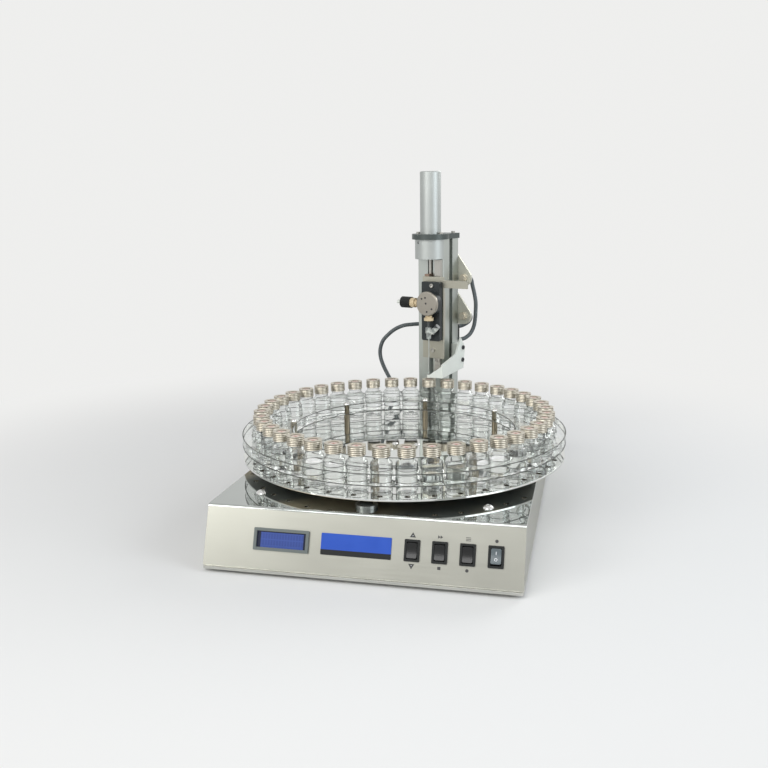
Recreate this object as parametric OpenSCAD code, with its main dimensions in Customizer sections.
// Bench autosampler: a mirror-topped base, a carousel of capped vials and a needle lift.
// Millimetres, +Z up, origin under the middle of the base on the bench.

/* [Base] */
// Width of the base
base_w = 320; // [290:1:360]
// Room between the column's foot and the back edge of the bottom plate
rear_margin = 2.5; // [1.5:0.5:30]
// Height of the base above its feet
base_h = 60.6; // [58:0.2:80]
// How far the front panel leans back over its height
front_slope = 23; // [12:0.5:30]
// Thickness of the sheet-steel cover
sheet_t = 1.5; // [1:0.1:2]
// Outer radius of the bend along the top front edge
bend_r = 3; // [2.5:0.5:5]
// Thickness of the bottom plate
plate_t = 3; // [2:0.5:5]
// Height of the shadow joint between bottom plate and cover
joint_h = 1; // [0.6:0.1:2]
// Distance of the cover's back wall from the back edge of the bottom plate
back_inset = 3; // [2.5:0.5:6]
// Height of the rubber feet
foot_h = 4; // [3:0.5:8]
// Diameter of the rubber feet
foot_d = 18; // [12:1:25]
// Distance of the feet from the edges of the bottom plate
foot_inset = 30; // [20:1:45]
// Distance of the cover screws from the centre line
cover_screw_x = 118.7; // [110:0.1:130]
// Distance of the front cover screws from the top front edge
cover_screw_front = 41.5; // [36:0.5:44]
// Distance of the rear cover screws from the back of the cover
cover_screw_rear = 47; // [30:1:60]
// Diameter of the domed screw heads
dome_d = 12; // [9:0.5:13]

/* [Front panel] */
// Middle of the display from the centre line
display_u = -79.2; // [-95:0.1:-75]
// Height of the front fittings up the panel
panel_v = 33.6; // [30:0.1:36]
// Width of the display bezel
display_w = 57; // [50:0.5:64]
// Height of the display bezel up the panel
display_h = 22; // [20:0.5:28]
// Width of the bezel's frame around the glass
display_rim = 3; // [2:0.1:4]
// Middle of the name plate from the centre line
label_u = -2.9; // [-6:0.1:0]
// Width of the name plate
label_w = 70.5; // [50:0.5:74]
// Height of the name plate up the panel
label_h = 21; // [15:0.5:28]
// Thickness of the name plate
label_t = 0.8; // [0.4:0.1:1.5]
// First switch from the centre line
switch_u = 52.7; // [48:0.1:56]
// Spacing of the switches
switch_pitch = 26.74; // [20:0.01:29]
// Width of a switch bezel
switch_w = 15; // [14:0.5:18]
// Height of a switch bezel up the panel
switch_h = 21; // [19:0.5:24]
// How far a rocker tips to each side, in degrees
rocker_tip = 8; // [4:0.5:9]

/* [Carousel] */
// Radius of the circle of vials, which sets their number and the depth of the base
vial_circle_r = 165.65; // [130:0.05:190]
// Distance of the carousel's edge behind the top front edge
tray_margin = 12.3; // [8:0.1:30]
// Least width of the ring between two vial holes
vial_web = 1.85; // [1.2:0.05:5]
// Room around a vial in its hole in the ring
vial_fit = 0.5; // [0.3:0.1:0.7]
// Width of the ring outside the vial holes
ring_rim = 9.9; // [7:0.1:11]
// Width of the ring inside the vial holes
ring_land = 23.8; // [16:0.1:40]
// Thickness of the clear ring
ring_t = 12; // [6:0.5:15]
// Gap between the disc and the ring
ring_gap = 13.7; // [8:0.1:16]
// Thickness of the mirror disc
disc_t = 2; // [1.5:0.1:4]
// Gap between the base and the disc
disc_gap = 9; // [8:0.1:14]
// Number of posts that carry the ring
post_n = 8; // [4:1:12]
// Diameter of the posts
post_d = 7.3; // [5:0.1:8]
// Distance of the posts from the ring's inner edge
post_inset = 6.4; // [5.5:0.1:8]
// Diameter of the index holes in the disc
index_d = 6; // [3:0.1:7]
// Distance of the index holes from the disc's edge
index_inset = 9.3; // [8:0.1:11]
// Diameter of the carousel hub under the disc
hub_d = 60; // [44:1:90]
// Diameter of the carousel shaft
shaft_d = 20; // [15:0.5:22]

/* [Vials] */
// Diameter of a vial
vial_d = 22.5; // [20:0.1:22.6]
// Height of the glass
vial_h = 46; // [42:0.5:56]
// Wall of the glass
vial_wall = 1.2; // [0.8:0.1:1.8]
// Outer diameter of the neck
neck_d = 16.4; // [15:0.1:16.8]
// Bore of the neck
neck_bore = 12.4; // [9:0.1:13]
// Wall of the cap
cap_wall = 0.9; // [0.6:0.1:1.5]
// Height of the cap
cap_h = 9.7; // [8:0.1:12]
// Thickness of the cap's top
cap_lid = 1.2; // [0.8:0.1:2]
// Opening in the cap's top
cap_window = 11; // [6:0.5:13]
// Thickness of the septum
septum_t = 1.4; // [1:0.1:2]

/* [Drive] */
// Teeth of the carousel pulley
big_teeth = 82; // [70:1:90]
// Teeth of the motor pulley
small_teeth = 24; // [20:1:28]
// Tooth pitch of the belt
belt_pitch = 5; // [4:0.5:5]
// Width of the belt
belt_w = 9.5; // [6:0.5:11]
// Thickness of the belt
belt_t = 2.5; // [1.5:0.1:3]
// Distance between the two pulley axes
pulley_dist = 120; // [112:1:124]
// Side of the square motor
motor_w = 42.3; // [35:0.1:44]
// Room under the motor
motor_clear = 4.4; // [1:0.1:12]

/* [Lift] */
// Turn of the column about its own axis, in degrees
lift_turn = 22; // [10:1:26]
// Width of the column
column_w = 40; // [36:0.5:42]
// Room on each side of the lead screw in the column's slot
slot_room = 1.5; // [1.2:0.1:1.6]
// Gap between the carousel's edge and the column's face
column_gap = 5.85; // [4:0.05:10]
// Distance of the needle to the side of the column's middle
needle_side = 14.5; // [13.5:0.1:15.5]
// Length of the needle below its holder, which sets the lift's travel
needle_len = 49.5; // [40:0.5:50]
// Room left between the needle's holder and the guide eye at the bottom of the travel
travel_stop = 3.5; // [3:0.5:20]
// Diameter of the needle
needle_d = 1.6; // [0.8:0.1:1.8]
// Diameter of the lead screw
lead_d = 5; // [4:0.1:5.2]
// Diameter of the lift's motor tube
tube_d = 28; // [24:0.5:32]
// Length of the lift's motor tube
tube_h = 81.4; // [60:0.2:100]
// Thickness of the head plate
head_t = 7; // [4:0.5:10]
// Diameter of the half-round collar
collar_d = 42; // [36:0.5:44]
// Height of the collar
collar_h = 26; // [20:0.5:34]
// Height of the column's foot plate
column_foot_t = 6; // [4:0.5:7]
// Diameter of the valve head
valve_d = 32.5; // [29:0.5:34]
// Width of the valve block
block_w = 28; // [26:0.5:30]
// Thickness of the valve block
block_t = 8; // [6:0.5:9]
// Diameter of the three cables
cable_d = 5.5; // [4:0.1:6]

/* [Hidden] */
$fn = 64;
eps = 0.01;
hair = 0.005;
run_fit = 0.05;
loose = 0.3;

// Heights and depths of the base
z_floor = foot_h + plate_t;
z_seat = z_floor + joint_h;
z_top = foot_h + base_h;
z_ceiling = z_top - sheet_t;
lean = atan(front_slope / base_h);
vial_hole_r = vial_d / 2 + vial_fit;
vial_n = floor(2 * PI * vial_circle_r / (2 * vial_hole_r + vial_web));
ring_ro = vial_circle_r + vial_hole_r + ring_rim;
ring_ri = vial_circle_r - vial_hole_r - ring_land;
needle_reach = ring_ro - vial_circle_r + column_gap + column_w / 2;
foot_ear = 18;
foot_screw_head = [8.5, 3];
foot_screw_tail = 8;
foot_l = column_w + 2 * foot_ear;
lift_back = needle_side * sin(lift_turn) + needle_reach * cos(lift_turn);
foot_back = foot_l / 2 * sin(lift_turn) + column_w / 2 * cos(lift_turn);
base_d = front_slope + tray_margin + ring_ro + vial_circle_r + lift_back + foot_back + rear_margin;
front_y = -base_d / 2;
back_y = base_d / 2 - back_inset;
tray_y = front_y + front_slope + tray_margin + ring_ro;
plate_r = 3;
joint_in = sheet_t / 2;
shank_d = 5;
shank_l = 14;
pillar_d = 10;
dome_h = 3.4;

// Electrical pieces inside the base
board_size = [90, 90, 1.6];
board_parts = [[-0.27, 0.22, 0.24, 0.16, 9], [0.2, 0.24, 0.33, 0.24, 4], [-0.22, -0.2, 0.31, 0.31, 3],
    [0.27, -0.22, 0.13, 0.38, 11]];
board_gap = 8.7;
board_front = 13.5;
board_mid = [board_size.x / 2 + pillar_d / 2 + board_gap - cover_screw_x,
    front_y + front_slope + board_front + board_size.y / 2];
stud_d = 5;
stud_h = 6;
stud_inset = 6;
supply_size = [60, 110, 36];
supply_x = 85;
supply_gap = 73;
supply_slot = [40, 4, 2];
supply_slot_pitch = 10;
inlet_x = 90;
inlet_z = (z_seat + z_ceiling) / 2;
inlet_w = 27;
inlet_h = 19.6;
inlet_depth = 26;
inlet_well = 16;
inlet_wall = 1.5;
inlet_flange = [50, 23, min(2.2, back_inset - 0.3)];
inlet_pin = [2, 4, 14];

// Front panel fittings
switch_n = 4;
sill = 1.8;
rocker_gap = 2.3;
rocker_round = 1.5;
rocker_w = switch_w - 2 * rocker_gap - 2 * loose;
rocker_l = switch_h - 2 * rocker_gap - 1.8;
body_in = 1.2;
rocker_depth = 2;
rocker_pin_d = 2;
rocker_rise = 3;
rocker_dish = 1.2;
rocker_root = 3;
rocker_draft = 0.6;
switch_depth = 16;
well_depth = 7;
glass_lap = 0.9;
display_depth = 6.5;
display_board = 1.6;
display_edge = 4;
bezel_t = 2.2;

// Carousel heights and radii
z_disc = z_top + disc_gap;
z_tray = z_disc + disc_t;
z_ring = z_tray + ring_gap;
z_cap = z_tray + vial_h + septum_t + cap_lid;
post_r = ring_ri + post_inset;
cap_d = neck_d + 2 * loose + 2 * cap_wall;
index_r = ring_ro - index_inset;
spigot_d = post_d - 0.6;
nut_d = post_d + 0.8;
nut_h = 3;
septum_hole_d = needle_d + 2 * loose;
cap_ridges = 5;
cap_dip = 0.4;
hub_t = 6;
shaft_room = 10;
hub_boss_d = 16;
hub_screw_n = 4;
hub_screw_d = 4;
hub_screw_r = (hub_d / 2 + hub_boss_d / 2) / 2;
sensor_d = 13;
sensor_nut_d = 22;
sensor_up = disc_gap - 4;

// Carousel drive
big_r = big_teeth * belt_pitch / PI / 2;
small_r = small_teeth * belt_pitch / PI / 2;
belt_gap = 0.3;
flange_t = 1.25;
pulley_hub = 8;
pulley_web = 4;
flange_out = belt_t + 0.8;
pulley_h = belt_w + 2 * flange_t + 1;
pulley_z = z_ceiling - 3.5 - pulley_h;
drive_turn = 143;
motor_x = pulley_dist * cos(drive_turn);
motor_y = tray_y + pulley_dist * sin(drive_turn);
motor_shaft_d = 5;
shaft_in = 10;
bracket_t = 3;
bracket_w = motor_w + 14;
bracket_z = pulley_z - 1.2 - bracket_t;
motor_h = bracket_z - z_seat - motor_clear;
motor_boss_d = 22;
bracket_foot = 12;
bearing_h = 12;
bearing_race = 11;
bearing_d = shaft_d + 2 * bearing_race;
housing_z = pulley_z - 1.5;
housing_wall = 4;
housing_ear = 21;
housing_t = 5;

// Lift: its own frame has the column's middle as origin and the front at -Y
lift_travel = needle_len - travel_stop;
lift_x = -needle_side * cos(lift_turn) + needle_reach * sin(lift_turn);
lift_y = tray_y + vial_circle_r + lift_back;
face_y = -column_w / 2;
lead_in = 0.5;
lead_y = face_y + lead_in;
slot_w = lead_d + 2 * slot_room;
rail_w = 9;
rail_t = 6;
rail_fit = 0.15;
runner_w = 20;
runner_t = 8;
carriage_y = face_y - 9.5;
carriage_t = 3;
block_y = carriage_y - carriage_t;
block_off = 1.7;
port_back = 2.5;
boss_l = needle_reach + block_y - block_t + port_back;
head_face_t = 3.5;
eye_gap = 2;
eye_h = 4;
eye_d = 6;
tip_in_eye = 0.7;
holder_h = 15;
holder_d = 8.6;
holder_foot_d = 6;
stem_h = 9.6;
stem_d = 4;
branch_turn = 46;
branch_up = 4;
branch_l = 20;
branch_d = 7;
branch_neck_d = 3.6;
branch_head = 13;
port_h = 6.4;
port_d = 12.8;
side_l = 11;
side_nut_d = 15;
side_nut_l = 15;
stub_d = 5;
stub_bore = 2;
stub_l = 7.5;
z_eye = z_cap + eye_gap;
z_tip = z_eye + eye_h - tip_in_eye;
z_holder = z_tip + needle_len;
z_valve = z_holder + holder_h + stem_h + port_h + valve_d / 2;
carriage_up = 34;
carriage_h = 110;
carriage_lip = 1.2;
z_carriage = z_valve + carriage_up;
carriage_x0 = -4.5;
block_x = needle_side - block_off;
carriage_x1 = block_x + block_w / 2 + carriage_lip;
arm_l = 36;
arm_h = 10;
arm_drop = 14;
z_arm = z_carriage - arm_drop;
rod_d = 4;
rod_x = carriage_x1 + 1;
z_rod = z_arm + 2.5;
rod_back = 13;
runner_l = 60;
runner_low = 47;
z_runner = z_valve - runner_low;
nut_gap = 0.7;
nut_in = 4;
nut_block_w = slot_w - 2 * nut_gap;
nut_block_h = 13;
z_nut = z_carriage - nut_block_h + 3;
collar_up = 23;
z_collar = z_carriage + collar_up;
block_h = 79;
block_low = 51;
z_head = z_collar + collar_h;
head_r = 25;
z_lead = z_nut - lift_travel - 4;
coupling_d = 16;
coupling_h = 16;
lead_slot = lead_d + 4;
guide_gap = 4;
guide_x = carriage_x1 + guide_gap;
guide_t = 2.5;
guide_front = -block_y + block_t + 2;
guide_web = 3;
guide_block = [12, 32];
guide_block_at = [2, 8];
guide_top = 49;
guide_heel = [14, 35];
guide_sole = 6;
guide_neck = 28;
guide_root = 18;
guide_mid = 10;

// Limit switches, terminal box and cables behind the column
z_limit_hi = z_rod + 6.5;
z_limit_lo = z_rod - lift_travel;
limit_x = rod_x - 0.5;
bracket_back_t = 3;
limit_face = rod_back + 2;
limit_tail = 30;
limit_d = 8;
limit_nut_d = 11;
bracket_low = 11.5;
bracket_top = 35;
bracket_top_x = 16;
bracket_left = 14;
box_w = 32;
box_h = 33;
box_back = 30;
z_box = z_limit_lo - bracket_low - 2 - box_h;
gland_x = -52.5;
gland_y = -10;
gland_h = 7;
gland_d = 11.5;
gland_lip = 2;
gland_nut = [16, 3];
cable_sides = 10;
main_route = [[-16, 25, 183], [-21, 25, 183], [-28, 21, 184], [-37, 13.5, 184], [-47, 5, 183.5],
    [-57, -2, 182], [-67, -8.5, 177], [-76, -13, 169], [-83, -16.5, 160], [-86.5, -18.5, 148],
    [-86, -18.5, 136], [-82, -17.5, 124], [-76, -16, 112], [-69, -14.5, 100], [-62, -12.5, 89],
    [-56, -11, 80], [-52.5, -10, 71.6], [-52.5, -10, 67.6]];
upper_route = [[28.5, 30, 251], [28.5, 35, 251], [29, 40, 247], [30, 41.5, 239], [32.5, 42, 229],
    [35, 42, 216], [35, 42, 204], [34.5, 41.5, 192], [33, 40, 181], [30, 36, 172], [25.5, 29.5, 166.5],
    [21, 25, 165], [16, 25, 165]];
lower_route = [[28.5, 30, 198.5], [28.5, 35, 198.5], [28.2, 39, 197], [27.4, 41.4, 193.8], [25.6, 42, 190.2],
    [22.8, 41.8, 187], [19, 40.6, 184.3], [15.6, 38, 182.3], [13, 34.6, 181.5], [13, 30, 181.5]];

// Helpers
function arc(cx, cy, r, a0, a1, n = 6) =
    [for (i = [0:n]) let (a = a0 + (a1 - a0) * i / n) [cx + r * cos(a), cy + r * sin(a)]];

function round_rect(w, h, r) = concat(
    arc(w / 2 - r, h / 2 - r, r, 0, 90), arc(-w / 2 + r, h / 2 - r, r, 90, 180),
    arc(-w / 2 + r, -h / 2 + r, r, 180, 270), arc(w / 2 - r, -h / 2 + r, r, 270, 360));

module slab(w, h, r, t) { linear_extrude(t) polygon(round_rect(w, h, r)); }

// A profile in Y and Z, carried across the base along X
module across(width) { rotate([90, 0, 90]) linear_extrude(width, center = true) children(); }

// Children lie on the front panel: X along it, Y up it, Z out of it
module on_panel(u, v) {
    translate([u, front_y + v * sin(lean), foot_h + v * cos(lean)]) rotate([90 - lean, 0, 0])
        translate([0, 0, hair]) children();
}

module on_tray(z) { translate([0, tray_y, z]) children(); }

module at_vials() {
    for (i = [0:vial_n - 1])
        rotate([0, 0, 90 + i * 360 / vial_n]) translate([vial_circle_r, 0, 0]) children();
}

module at_posts() {
    for (i = [0:post_n - 1]) rotate([0, 0, i * 360 / post_n]) translate([post_r, 0, 0]) children();
}

module at_switches() { for (i = [0:switch_n - 1]) on_panel(switch_u + i * switch_pitch, panel_v) children(); }

module at_cover_screws(z) {
    for (x = [-1, 1], y = [front_y + front_slope + cover_screw_front, back_y - cover_screw_rear])
        translate([x * cover_screw_x, y, z]) children();
}

module in_lift(z = 0) { translate([lift_x, lift_y, z]) rotate([0, 0, -lift_turn]) children(); }

module at_needle(z = 0) { in_lift(z) translate([needle_side, -needle_reach, 0]) children(); }

// A horizontal rod in the lift's frame, pointing to the front
module forward_rod(x, y0, y1, z, d) {
    translate([x, y1, z]) rotate([-90, 0, 0]) cylinder(h = y0 - y1, d = d);
}

// A domed head standing on z = 0
module dome(d, h) {
    r = (d * d / 4 + h * h) / (2 * h);
    intersection() {
        translate([0, 0, h - r]) sphere(r);
        cylinder(h = h, d = d + 1);
    }
}

// One tube swept along the points of a route
function unit(v) = v / norm(v);
function along(p, i) = unit(p[min(i + 1, len(p) - 1)] - p[max(i - 1, 0)]);
function side_of(p, i) = unit(cross(along(p, i), [0.3, -0.2, 0.93]));
module cable(route) {
    n = cable_sides;
    last = len(route) - 1;
    points = [for (i = [0:last], k = [0:n - 1])
        let (s = side_of(route, i), w = cross(along(route, i), s), a = 360 * k / n)
            route[i] + cable_d / 2 * (cos(a) * s + sin(a) * w)];
    walls = [for (i = [0:last - 1], k = [0:n - 1]) let (a = i * n + k, b = i * n + (k + 1) % n)
        each [[a, a + n, b + n], [a, b + n, b]]];
    first_end = [for (k = [1:n - 2]) [0, k, k + 1]];
    last_end = [for (k = [1:n - 2]) [last * n, last * n + k + 1, last * n + k]];
    polyhedron(points = points, faces = concat(walls, first_end, last_end));
}

// Base
function front_at(z) = front_y + (z - foot_h) * tan(lean);

// The cover's section, moved inwards by a depth: its bend keeps one centre
module cover_section(depth, z_low) {
    bend_y = front_at(z_top) + bend_r * tan(45 - lean / 2);
    polygon(concat([[front_at(z_low) + depth / cos(lean), z_low]],
        arc(bend_y, z_top - bend_r, bend_r - depth, 180 - lean, 90, 8),
        [[back_y - depth, z_top - depth], [back_y - depth, z_low]]));
}

module bottom_plate() color([0.72, 0.72, 0.69]) {
    seat_front = front_at(z_seat) + joint_in;
    seat_back = back_y - joint_in;
    translate([0, 0, foot_h]) slab(base_w, base_d, plate_r, plate_t);
    translate([0, (seat_front + seat_back) / 2, z_floor - eps]) linear_extrude(joint_h + eps)
        square([base_w - 2 * joint_in, seat_back - seat_front], center = true);
    stud_at = [board_size.x / 2 - stud_inset, board_size.y / 2 - stud_inset];
    for (x = [-1, 1], y = [-1, 1])
        translate([board_mid.x + x * stud_at.x, board_mid.y + y * stud_at.y, z_seat - eps])
            cylinder(h = stud_h + eps, d = stud_d);
}

module rubber_feet() color([0.08, 0.08, 0.08]) {
    for (x = [-1, 1], y = [-1, 1])
        translate([x * (base_w / 2 - foot_inset), y * (base_d / 2 - foot_inset), 0])
            cylinder(h = foot_h, d1 = foot_d - 2, d2 = foot_d);
}

module housing_cover() color([0.8, 0.79, 0.75]) difference() {
    across(base_w) cover_section(0, z_seat);
    across(base_w - 2 * sheet_t) cover_section(sheet_t, z_seat - 1);
    on_tray(z_ceiling - 1) cylinder(h = sheet_t + 2, d = shaft_d + 2 * shaft_room);
    translate([0, tray_y - index_r, z_ceiling - 1]) cylinder(h = sheet_t + 2, d = sensor_d + 2 * run_fit);
    at_cover_screws(z_ceiling - 1) cylinder(h = sheet_t + 2, d = shank_d + 2 * run_fit);
    in_lift(z_ceiling - 1) at_foot_screws() cylinder(h = sheet_t + 2, d = shank_d + 2 * run_fit);
    on_panel(display_u, panel_v) translate([0, 0, -3 * sheet_t])
        linear_extrude(4 * sheet_t) square([display_w - 2 * display_rim + 2 * glass_lap + 2 * loose,
            display_h - 2 * display_rim + 2 * glass_lap + 2 * loose], center = true);
    at_switches() translate([0, 0, -3 * sheet_t]) linear_extrude(4 * sheet_t)
        square([switch_w - 2 * body_in + loose, switch_h - 2 * body_in + loose], center = true);
    translate([inlet_x, back_y - 2 * sheet_t, inlet_z]) rotate([-90, 0, 0])
        linear_extrude(3 * sheet_t) square([inlet_w + loose, inlet_h + loose], center = true);
}

module cover_posts() color([0.75, 0.75, 0.77]) at_cover_screws(z_seat) difference() {
    cylinder(h = z_ceiling - z_seat, d = pillar_d);
    translate([0, 0, z_ceiling - z_seat - shank_l - 2]) cylinder(h = shank_l + 3, d = shank_d + 2 * run_fit);
}

module cover_screws() color([0.85, 0.85, 0.86]) at_cover_screws(z_top) {
    dome(dome_d, dome_h);
    translate([0, 0, -shank_l]) cylinder(h = shank_l + 1, d = shank_d);
}

module display_bezel() color([0.37, 0.38, 0.37]) on_panel(display_u, panel_v)
    linear_extrude(bezel_t) difference() {
        polygon(round_rect(display_w, display_h, 1));
        square([display_w - 2 * display_rim, display_h - 2 * display_rim], center = true);
    }

module display_module() color([0.22, 0.26, 0.72]) on_panel(display_u, panel_v) {
    glass = [display_w - 2 * display_rim + 2 * glass_lap, display_h - 2 * display_rim + 2 * glass_lap];
    translate([0, 0, -display_depth]) linear_extrude(display_depth) square(glass, center = true);
    translate([0, 0, -display_depth - display_board]) linear_extrude(display_board + eps)
        square(glass + [2, 2] * display_edge, center = true);
}

module label_plate() color([0.2, 0.32, 0.8]) on_panel(label_u, panel_v) slab(label_w, label_h, 0.8, label_t);

module switch_frames() color([0.07, 0.07, 0.08]) at_switches() difference() {
    union() {
        slab(switch_w, switch_h, 1, sill);
        translate([0, 0, -switch_depth]) linear_extrude(switch_depth + eps)
            square([switch_w - 2 * body_in, switch_h - 2 * body_in], center = true);
    }
    translate([0, 0, -well_depth]) linear_extrude(well_depth + sill + 1)
        square([switch_w - 2 * rocker_gap, switch_h - 2 * rocker_gap], center = true);
    translate([0, 0, -rocker_depth]) rotate([0, 90, 0])
        cylinder(h = switch_w, d = rocker_pin_d + 2 * run_fit, center = true);
}

// A hollow-faced rocker on its pin; tip turns it about the pin
module rocker(i, tip) on_panel(switch_u + i * switch_pitch, panel_v) translate([0, 0, -rocker_depth])
    rotate([tip, 0, 0]) {
        hollow_r = (rocker_l * rocker_l / 4 + rocker_dish * rocker_dish) / (2 * rocker_dish);
        half = asin(rocker_l / 2 / hollow_r);
        hollow_z = rocker_depth + rocker_rise - rocker_dish + hollow_r;
        intersection() {
            rotate([90, 0, 90]) linear_extrude(rocker_w, center = true) polygon(concat(
                [[-rocker_l / 2 + rocker_draft, -rocker_root], [rocker_l / 2 - rocker_draft, -rocker_root]],
                arc(0, hollow_z, hollow_r, 270 + half, 270 - half, 10)));
            translate([0, 0, -2 * rocker_root])
                slab(rocker_w, rocker_l, rocker_round, 4 * (rocker_depth + rocker_rise));
        }
        rotate([0, 90, 0]) cylinder(h = switch_w - 2 * body_in - 0.2, d = rocker_pin_d, center = true);
    }

module rocker_up_down() color([0.06, 0.06, 0.07]) rocker(0, 0);
module rocker_cycle() color([0.06, 0.06, 0.07]) rocker(1, 0);
module rocker_menu() color([0.06, 0.06, 0.07]) rocker(2, 0);
module rocker_power() color([0.6, 0.68, 0.74]) rocker(3, -rocker_tip);

// Mains inlet in the back wall: a plain three-pin socket
module power_inlet() color([0.05, 0.05, 0.05]) translate([inlet_x, back_y, inlet_z]) rotate([-90, 0, 0]) {
    well_z = inlet_flange.z - inlet_well;
    difference() {
        union() {
            slab(inlet_flange.x, inlet_flange.y, 3, inlet_flange.z);
            translate([0, 0, -inlet_depth]) linear_extrude(inlet_depth + eps)
                square([inlet_w, inlet_h], center = true);
        }
        translate([0, 0, well_z]) linear_extrude(inlet_well + 1)
            square([inlet_w - 2 * inlet_wall, inlet_h - 2 * inlet_wall], center = true);
    }
    for (p = [[-7, -1], [7, -1], [0, -5]])
        translate([p.x, p.y, well_z - 1]) linear_extrude(inlet_pin.z)
            square([inlet_pin.x, inlet_pin.y], center = true);
}

module power_supply() color([0.7, 0.71, 0.7])
    translate([supply_x, back_y - supply_gap - supply_size.y / 2, z_seat]) difference() {
        slab(supply_size.x, supply_size.y, 2, supply_size.z);
        for (i = [-4:4]) translate([-supply_slot.x / 2, i * supply_slot_pitch - supply_slot.y / 2,
            supply_size.z - supply_slot.z]) cube(supply_slot + [0, 0, 1]);
    }

module control_board() color([0.1, 0.35, 0.18]) translate([board_mid.x, board_mid.y, z_seat + stud_h]) {
    slab(board_size.x, board_size.y, 2, board_size.z);
    for (p = board_parts) translate([p[0] * board_size.x, p[1] * board_size.y, board_size.z - eps])
        linear_extrude(p[4]) square([p[2] * board_size.x, p[3] * board_size.y], center = true);
}

// Carousel drive
module drive_motor() color([0.16, 0.16, 0.17]) translate([motor_x, motor_y, bracket_z - motor_h]) difference() {
    union() {
        slab(motor_w, motor_w, 5, motor_h);
        translate([0, 0, motor_h - eps]) cylinder(h = 2, d = motor_boss_d);
    }
    translate([0, 0, motor_h - shaft_in - 2]) cylinder(h = 2 * shaft_in, d = motor_shaft_d + 2 * run_fit);
}

module motor_bracket() color([0.62, 0.63, 0.63]) translate([motor_x, motor_y, 0]) difference() {
    union() {
        translate([0, 0, bracket_z]) linear_extrude(bracket_t) square(bracket_w, center = true);
        for (x = [-1, 1]) translate([x * (bracket_w - bracket_t) / 2, 0, z_seat]) {
            linear_extrude(bracket_z - z_seat + eps) square([bracket_t, bracket_w], center = true);
            translate([x * bracket_foot / 2, 0, 0]) linear_extrude(bracket_t)
                square([bracket_foot, bracket_w], center = true);
        }
    }
    translate([0, 0, bracket_z - 1]) cylinder(h = bracket_t + 2, d = motor_boss_d + 2 * loose);
}

// A flanged pulley's profile, from its bore out to its rim
module pulley(r, bore_r, hub_r, web) rotate_extrude() difference() {
    polygon([[bore_r, 0], [r + flange_out, 0], [r + flange_out, flange_t], [r, flange_t],
        [r, pulley_h - flange_t], [r + flange_out, pulley_h - flange_t], [r + flange_out, pulley_h],
        [bore_r, pulley_h]]);
    if (web > 0) {
        translate([hub_r, -1]) square([r - 7 - hub_r, (pulley_h - web) / 2 + 1]);
        translate([hub_r, (pulley_h + web) / 2]) square([r - 7 - hub_r, (pulley_h - web) / 2 + 1]);
    }
}

module motor_pulley() color([0.78, 0.78, 0.8]) translate([motor_x, motor_y, pulley_z]) {
    pulley(small_r, motor_shaft_d / 2 - eps, 0, 0);
    translate([0, 0, bracket_z - pulley_z - shaft_in])
        cylinder(h = pulley_z - bracket_z + shaft_in + pulley_h, d = motor_shaft_d);
}

// The belt's loop at a distance out from both pulleys
function belt_loop(out) = let (spread = acos((big_r - small_r) / pulley_dist),
    grow = 1 / cos(180 / 72), far = [pulley_dist, 0]) concat(
    arc(0, 0, (big_r + out) * grow, spread, 360 - spread, 48),
    [for (p = arc(0, 0, (small_r + out) * grow, -spread, spread, 24)) p + far]);

module drive_belt() color([0.1, 0.1, 0.1]) on_tray(pulley_z + (pulley_h - belt_w) / 2)
    rotate([0, 0, drive_turn]) linear_extrude(belt_w) difference() {
        polygon(belt_loop(belt_gap + belt_t));
        polygon(belt_loop(belt_gap));
    }

module carousel_pulley() color([0.75, 0.75, 0.77]) on_tray(pulley_z)
    pulley(big_r, shaft_d / 2 + eps, shaft_d / 2 + pulley_hub, pulley_web);

module bearing_housing() color([0.6, 0.61, 0.62]) on_tray(z_seat) rotate_extrude() difference() {
    union() {
        square([bearing_d / 2 + housing_ear, housing_t]);
        square([bearing_d / 2 + housing_wall, housing_z - z_seat]);
    }
    translate([-1, -1]) square([bearing_d / 2 + eps + 1, bearing_h + 1]);
    translate([-1, housing_z - z_seat - bearing_h]) square([bearing_d / 2 + eps + 1, bearing_h + 1]);
    translate([-1, 0]) square([bearing_d / 2 - 2, housing_z]);
}

module bearings() color([0.82, 0.82, 0.83]) for (z = [z_seat, housing_z - bearing_h]) on_tray(z) difference() {
    cylinder(h = bearing_h, d = bearing_d);
    translate([0, 0, -1]) cylinder(h = bearing_h + 2, d = shaft_d + 2 * run_fit);
}

module carousel_shaft() color([0.7, 0.71, 0.72]) on_tray(0) difference() {
    union() {
        translate([0, 0, z_seat + 2]) cylinder(h = z_disc - z_seat - 2, d = shaft_d);
        translate([0, 0, z_disc - hub_t]) cylinder(h = hub_t, d = hub_d);
        translate([0, 0, z_disc - eps]) cylinder(h = disc_t + eps, d = hub_boss_d);
    }
    at_hub_screws(z_disc - hub_t - 1) cylinder(h = hub_t + 2, d = hub_screw_d + 2 * run_fit);
}

module at_hub_screws(z) {
    for (i = [0:hub_screw_n - 1])
        rotate([0, 0, 45 + i * 360 / hub_screw_n]) translate([hub_screw_r, 0, z]) children();
}

module index_sensor() color([0.06, 0.06, 0.07]) translate([0, tray_y - index_r, z_top + sensor_up - 28])
    cylinder(h = 28, d = sensor_d);

module sensor_nut() color([0.8, 0.8, 0.81]) translate([0, tray_y - index_r, z_top]) difference() {
    cylinder(h = sensor_up - 1.5, d = sensor_nut_d);
    translate([0, 0, -1]) cylinder(h = sensor_up + 2, d = sensor_d + 2 * run_fit);
}

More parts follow.
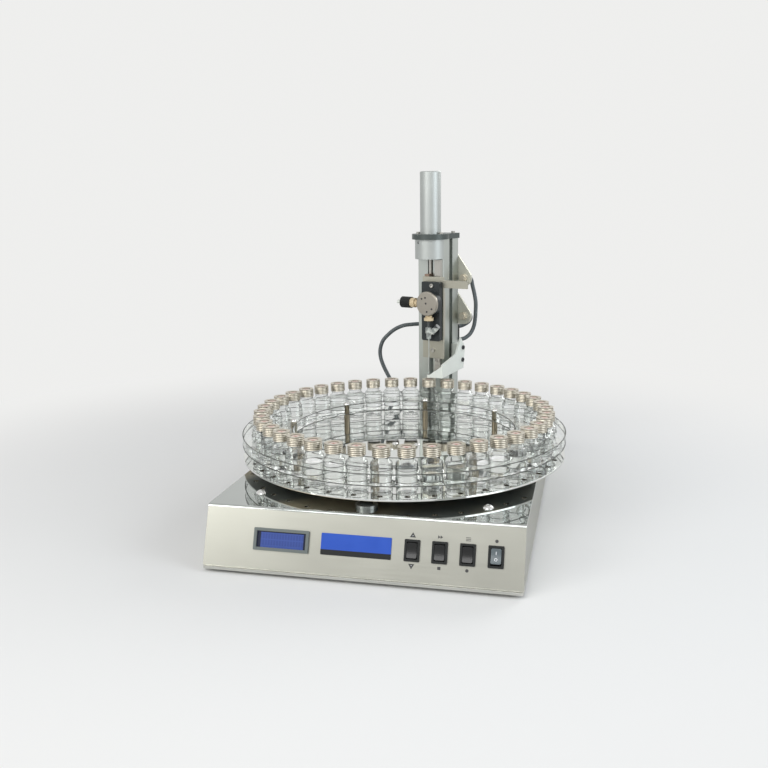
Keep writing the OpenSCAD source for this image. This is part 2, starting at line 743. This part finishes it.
// Carousel
module mirror_disc() color([0.78, 0.79, 0.79]) on_tray(z_disc) difference() {
    cylinder(h = disc_t, r = ring_ro, $fn = 180);
    translate([0, 0, -1]) cylinder(h = disc_t + 2, d = hub_boss_d + 2 * run_fit);
    for (i = [0:vial_n - 1]) rotate([0, 0, 90 + i * 360 / vial_n]) translate([index_r, 0, -1])
        cylinder(h = disc_t + 2, d = index_d);
    at_posts() translate([0, 0, -1]) cylinder(h = disc_t + 2, d = spigot_d + 2 * run_fit);
    at_hub_screws(-1) cylinder(h = disc_t + 2, d = hub_screw_d + 2 * run_fit);
}

module hub_screws() color([0.5, 0.5, 0.5]) on_tray(z_tray) at_hub_screws(0) {
    dome(hub_screw_d + 3.5, 2);
    translate([0, 0, -disc_t - hub_t + 0.5]) cylinder(h = disc_t + hub_t, d = hub_screw_d);
}

module ring_posts() color([0.36, 0.33, 0.28]) on_tray(z_tray) at_posts() {
    cylinder(h = ring_gap, d = post_d);
    translate([0, 0, -disc_t]) cylinder(h = disc_t + ring_gap + ring_t, d = spigot_d);
}

module vial_ring() color([0.85, 0.9, 0.9, 0.35]) on_tray(z_ring) difference() {
    cylinder(h = ring_t, r = ring_ro, $fn = 180);
    translate([0, 0, -1]) cylinder(h = ring_t + 2, r = ring_ri, $fn = 180);
    at_vials() translate([0, 0, -1]) cylinder(h = ring_t + 2, r = vial_hole_r);
    at_posts() translate([0, 0, -1]) cylinder(h = ring_t + 2, d = spigot_d + 2 * run_fit);
}

module post_nuts() color([0.85, 0.85, 0.85]) on_tray(z_ring + ring_t) at_posts() dome(nut_d, nut_h);

// One vial, standing at z = 0
module vial() {
    r = vial_d / 2;
    foot = 2;
    neck_z = vial_h - cap_h - 1.5;
    shoulder = r - neck_d / 2;
    inner = r - vial_wall;
    rotate_extrude() polygon(concat(
        [[0, 0], [r - foot, 0]], arc(r - foot, foot, foot, -90, 0, 4),
        arc(r - shoulder, neck_z - shoulder - 1, shoulder, 0, 90, 5),
        [[neck_d / 2, vial_h], [neck_bore / 2, vial_h], [neck_bore / 2, neck_z - 1]],
        [[inner - 2, neck_z - shoulder], [inner, neck_z - shoulder - 2.5], [inner, 3],
            [inner - 1.5, vial_wall + 0.4], [0, vial_wall + 0.4]]));
}

// One ridged screw cap, its top at z = 0
module vial_cap() rotate_extrude() {
    r = cap_d / 2;
    inner = neck_d / 2 + loose;
    step = cap_h / (2 * cap_ridges);
    polygon(concat([[cap_window / 2, 0]],
        [for (i = [0:2 * cap_ridges]) [i % 2 == 0 ? r : r - cap_dip, -i * step]],
        [[inner, -cap_h], [inner, -cap_lid], [cap_window / 2, -cap_lid]]));
}

module vials() color([0.9, 0.95, 0.95, 0.3]) on_tray(z_tray) at_vials() vial();
module vial_caps() color([0.78, 0.72, 0.62]) on_tray(z_cap) at_vials() vial_cap();
module septa() color([0.9, 0.8, 0.76]) on_tray(z_tray + vial_h) at_vials() difference() {
    cylinder(h = septum_t, d = neck_d);
    translate([0, 0, -1]) cylinder(h = septum_t + 2, d = septum_hole_d);
}

// Lift column
module at_foot_screws() { for (x = [-1, 1]) translate([x * (foot_l - foot_ear) / 2, 0, 0]) children(); }

module column_foot() color([0.68, 0.69, 0.68]) in_lift(z_top) difference() {
    slab(foot_l, column_w, 4, column_foot_t);
    at_foot_screws() translate([0, 0, -1]) cylinder(h = column_foot_t + 2, d = shank_d + 2 * run_fit);
}

module foot_screws() color([0.3, 0.3, 0.31]) in_lift(z_top + column_foot_t) at_foot_screws() {
    cylinder(h = foot_screw_head[1], d = foot_screw_head[0]);
    translate([0, 0, -column_foot_t - sheet_t - foot_screw_tail])
        cylinder(h = column_foot_t + sheet_t + foot_screw_tail + 1, d = shank_d);
}

module slot_shape() {
    half = column_w / 2;
    lip = 4.5;
    polygon([[-slot_w / 2, -half - 1], [slot_w / 2, -half - 1], [slot_w / 2, -half + lip], [7.5, -half + lip],
        [7.5, -half + lip + 3.5], [slot_w / 2 - 0.5, -half + 12], [-slot_w / 2 + 0.5, -half + 12],
        [-7.5, -half + lip + 3.5], [-7.5, -half + lip], [-slot_w / 2, -half + lip]]);
}

module column() color([0.73, 0.75, 0.73]) in_lift(z_top + column_foot_t)
    linear_extrude(z_head - z_top - column_foot_t) difference() {
        polygon(round_rect(column_w, column_w, 1.5));
        for (a = [0:90:270]) rotate(a) slot_shape();
        circle(d = 6.8);
    }

module guide_rail() color([0.6, 0.6, 0.58]) in_lift(z_runner - lift_travel - 10)
    translate([needle_side - rail_w / 2, face_y - rail_t, 0])
        cube([rail_w, rail_t, z_collar - 1 - (z_runner - lift_travel - 10)]);

module head_plate() color([0.3, 0.33, 0.34]) in_lift(z_head) difference() {
    linear_extrude(head_t) union() {
        square(column_w + 2, center = true);
        translate([0, lead_y]) circle(r = head_r);
    }
    translate([0, lead_y, -1]) cylinder(h = head_t + 2, d = lead_d + 2);
}

module collar() color([0.78, 0.79, 0.77]) in_lift(z_collar) difference() {
    translate([0, lead_y, 0]) cylinder(h = collar_h, d = collar_d);
    translate([-collar_d, face_y, -1]) cube([2 * collar_d, collar_d, collar_h + 2]);
    translate([0, lead_y, -1]) cylinder(h = collar_h + 2, d = lead_slot);
}

module motor_tube() color([0.78, 0.8, 0.79]) in_lift(z_head + head_t) translate([0, lead_y, 0]) difference() {
    rotate_extrude() polygon([[0, 0], [tube_d / 2, 0], [tube_d / 2, tube_h - 1], [tube_d / 2 - 1, tube_h],
        [0, tube_h]]);
    translate([0, 0, -1]) cylinder(h = coupling_h + 5, d = coupling_d + 4);
    translate([0, 0, -1]) cylinder(h = coupling_h + 16, d = motor_shaft_d + 2 * run_fit);
}

module lead_screw() color([0.55, 0.53, 0.48]) in_lift(0) translate([0, lead_y, 0]) {
    translate([0, 0, z_lead]) cylinder(h = z_head + head_t + 4 - z_lead, d = lead_d);
    translate([0, 0, z_head + head_t + 2]) {
        cylinder(h = coupling_h, d = coupling_d);
        cylinder(h = coupling_h + 10, d = motor_shaft_d);
    }
}

// Carriage
module lead_nut() color([0.55, 0.3, 0.2]) in_lift(z_nut) difference() {
    translate([-nut_block_w / 2, carriage_y, 0]) cube([nut_block_w, face_y + nut_in - carriage_y, nut_block_h]);
    translate([0, lead_y, -1]) cylinder(h = nut_block_h + 2, d = lead_d + 2 * run_fit);
}

module runner() color([0.5, 0.51, 0.5]) in_lift(z_runner) difference() {
    translate([needle_side - runner_w / 2, carriage_y, 0]) cube([runner_w, runner_t, runner_l]);
    translate([needle_side - rail_w / 2 - rail_fit, face_y - rail_t - rail_fit, -1])
        cube([rail_w + 2 * rail_fit, rail_t + 2, runner_l + 2]);
}

module carriage_plate() color([0.7, 0.67, 0.6]) in_lift() {
    translate([carriage_x0, carriage_y - carriage_t, z_carriage - carriage_h])
        cube([carriage_x1 - carriage_x0, carriage_t, carriage_h]);
    translate([carriage_x1 - eps, carriage_y - carriage_t, z_arm]) cube([arm_l, carriage_t, arm_h]);
    forward_rod(rod_x, rod_back, carriage_y - eps, z_rod, rod_d);
}

// The dark block and the round valve body on its face
module valve_block() color([0.2, 0.22, 0.23]) in_lift(z_valve) {
    translate([block_x, block_y, block_h / 2 - block_low]) rotate([90, 0, 0])
        slab(block_w, block_h, 2, block_t);
    forward_rod(needle_side, block_y - block_t + eps, block_y - block_t - boss_l, 0, valve_d - 0.6);
}

module valve_head() color([0.62, 0.6, 0.56]) in_lift(z_valve)
    translate([needle_side, block_y - block_t - boss_l, 0]) rotate([90, 0, 0]) rotate_extrude()
        polygon([[0, 0], [valve_d / 2, 0], [valve_d / 2, head_face_t - 1], [valve_d / 2 - 1, head_face_t],
            [0, head_face_t]]);

// The beige port fittings, one under the valve body and one on its side
module fitting(length) {
    cylinder(h = length * 0.42 + eps, d = port_d * 0.7);
    translate([0, 0, length * 0.42]) cylinder(h = length * 0.58, d = port_d);
}

module ferrules() color([0.82, 0.68, 0.45]) at_needle(z_valve) {
    difference() {
        union() {
            translate([0, 0, -valve_d / 2 + 0.3]) rotate([180, 0, 0]) fitting(port_h + 0.3);
            translate([-valve_d / 2 + 0.3, 0, 0]) rotate([0, -90, 0]) fitting(side_l);
        }
        rotate([90, 0, 0]) cylinder(h = valve_d, d = valve_d - 0.6, center = true);
        translate([0, -port_back, 0]) rotate([90, 0, 0]) cylinder(h = valve_d, d = valve_d + 2 * eps);
    }
}

module side_nut() color([0.1, 0.11, 0.12]) at_needle(z_valve) translate([-valve_d / 2 - side_l + 0.3, 0, 0])
    rotate([0, -90, 0]) difference() {
        cylinder(h = side_nut_l, d = side_nut_d);
        for (a = [0:20:340]) rotate([0, 0, a]) translate([side_nut_d / 2 + 0.4, 0, 1.5])
            cylinder(h = side_nut_l, d = 1.6, $fn = 16);
    }

module tube_stub() color([0.92, 0.92, 0.9]) at_needle(z_valve)
    translate([-valve_d / 2 - side_l - side_nut_l + 0.3, 0, 0]) rotate([0, -90, 0]) difference() {
        cylinder(h = stub_l, d = stub_d);
        translate([0, 0, stub_l - 5.5]) cylinder(h = stub_l, d = stub_bore);
    }

// Clear holder of the needle: a socket on a narrower foot, with a slanting side branch
module needle_holder() color([0.88, 0.89, 0.87]) at_needle(z_holder) difference() {
    union() {
        cylinder(h = holder_h, d = holder_foot_d);
        translate([0, 0, holder_h / 2]) cylinder(h = holder_h / 2, d = holder_d);
        translate([0, 0, holder_h - eps]) cylinder(h = stem_h, d = stem_d);
        translate([0, 0, branch_up]) rotate([0, branch_turn, 0]) {
            cylinder(h = branch_l, d = branch_neck_d);
            translate([0, 0, branch_l - branch_head]) cylinder(h = branch_head, d = branch_d);
        }
    }
    translate([0, 0, -1]) cylinder(h = holder_h * 0.5, d = needle_d + 2 * eps);
}

module needle() color([0.8, 0.8, 0.8]) at_needle(z_tip) {
    translate([0, 0, 4]) cylinder(h = needle_len, d = needle_d);
    cylinder(h = 4 + eps, d1 = 0.4, d2 = needle_d);
}

// White guide arm: a block on the column's side, a tapering side plate and a front tongue with an eye
module guide_arm() color([0.9, 0.91, 0.89]) difference() {
    in_lift(z_eye) union() {
        translate([column_w / 2, guide_block_at.x, guide_block_at.y])
            cube([guide_x - column_w / 2 + eps, guide_block.x, guide_block.y]);
        translate([guide_x, 0, 0]) rotate([90, 0, 90]) linear_extrude(guide_t)
            polygon([[guide_web, guide_top], guide_heel, [guide_mid, guide_sole], [-guide_mid, eye_h],
                [-guide_front - guide_web, 0.5], [-guide_front - guide_web, guide_root],
                [-guide_mid, guide_neck]]);
        intersection() {
            linear_extrude(guide_top) polygon([[guide_x + guide_t, -guide_front],
                [guide_x + guide_t, -guide_front - guide_web],
                [needle_side, -needle_reach - 1.4], [needle_side, -needle_reach + 1.4]]);
            translate([0, face_y, 0]) rotate([90, 0, 0]) linear_extrude(2 * needle_reach)
                polygon([[needle_side - 1, 0], [guide_x + guide_t + 1, 0.5],
                    [guide_x + guide_t + 1, guide_root], [needle_side + 1.5, eye_h], [needle_side - 1, eye_h]]);
        }
        translate([needle_side, -needle_reach, 0]) cylinder(h = eye_h, d = eye_d);
    }
    at_needle(z_eye - 1) cylinder(h = eye_h + 2, d = needle_d + 2 * loose);
}

// Limit brackets behind the column, with their sensors
module at_limits() { for (z = [z_limit_lo, z_limit_hi]) in_lift(z) children(); }

module limit_brackets() color([0.74, 0.71, 0.63]) at_limits() difference() {
    translate([0, column_w / 2 + bracket_back_t, 0]) rotate([90, 0, 0]) linear_extrude(bracket_back_t)
        polygon(concat([[-bracket_left, bracket_top], [-bracket_left, -bracket_low]],
            arc(limit_x, 0, bracket_low, -90, 35, 8), [[bracket_top_x, bracket_top]]));
    forward_rod(limit_x, limit_tail, limit_face, 0, limit_d + 2 * run_fit);
}

module limit_sensors() color([0.7, 0.68, 0.62]) at_limits() {
    forward_rod(limit_x, limit_tail, limit_face, 0, limit_d);
    forward_rod(limit_x, column_w / 2, column_w / 2 - 3, 0, limit_nut_d);
}

module terminal_box() color([0.2, 0.21, 0.22]) in_lift(z_box)
    translate([-box_w / 2, column_w / 2, 0]) cube([box_w, box_back - column_w / 2, box_h]);

module cable_gland() color([0.12, 0.13, 0.14]) in_lift(z_top) translate([gland_x, gland_y, 0]) {
    cylinder(h = gland_nut[1], d = gland_nut[0], $fn = 6);
    cylinder(h = gland_h - gland_lip, d = gland_d);
    translate([0, 0, gland_h - gland_lip - eps])
        cylinder(h = gland_lip + eps, d1 = gland_d, d2 = gland_d - 3.5);
}

module main_cable() color([0.28, 0.32, 0.34]) in_lift(foot_h) cable(main_route);
module upper_cable() color([0.28, 0.32, 0.34]) in_lift(foot_h) cable(upper_route);
module lower_cable() color([0.28, 0.32, 0.34]) in_lift(foot_h) cable(lower_route);

bottom_plate();
rubber_feet();
housing_cover();
cover_posts();
cover_screws();
display_bezel();
display_module();
label_plate();
switch_frames();
rocker_up_down();
rocker_cycle();
rocker_menu();
rocker_power();
power_inlet();
power_supply();
control_board();
drive_motor();
motor_bracket();
motor_pulley();
drive_belt();
carousel_pulley();
bearing_housing();
bearings();
carousel_shaft();
index_sensor();
sensor_nut();
mirror_disc();
hub_screws();
ring_posts();
vial_ring();
post_nuts();
vials();
vial_caps();
septa();
cable_gland();
column_foot();
foot_screws();
column();
guide_rail();
head_plate();
collar();
motor_tube();
lead_screw();
lead_nut();
runner();
carriage_plate();
valve_block();
valve_head();
ferrules();
side_nut();
tube_stub();
needle_holder();
needle();
guide_arm();
limit_brackets();
limit_sensors();
terminal_box();
main_cable();
upper_cable();
lower_cable();
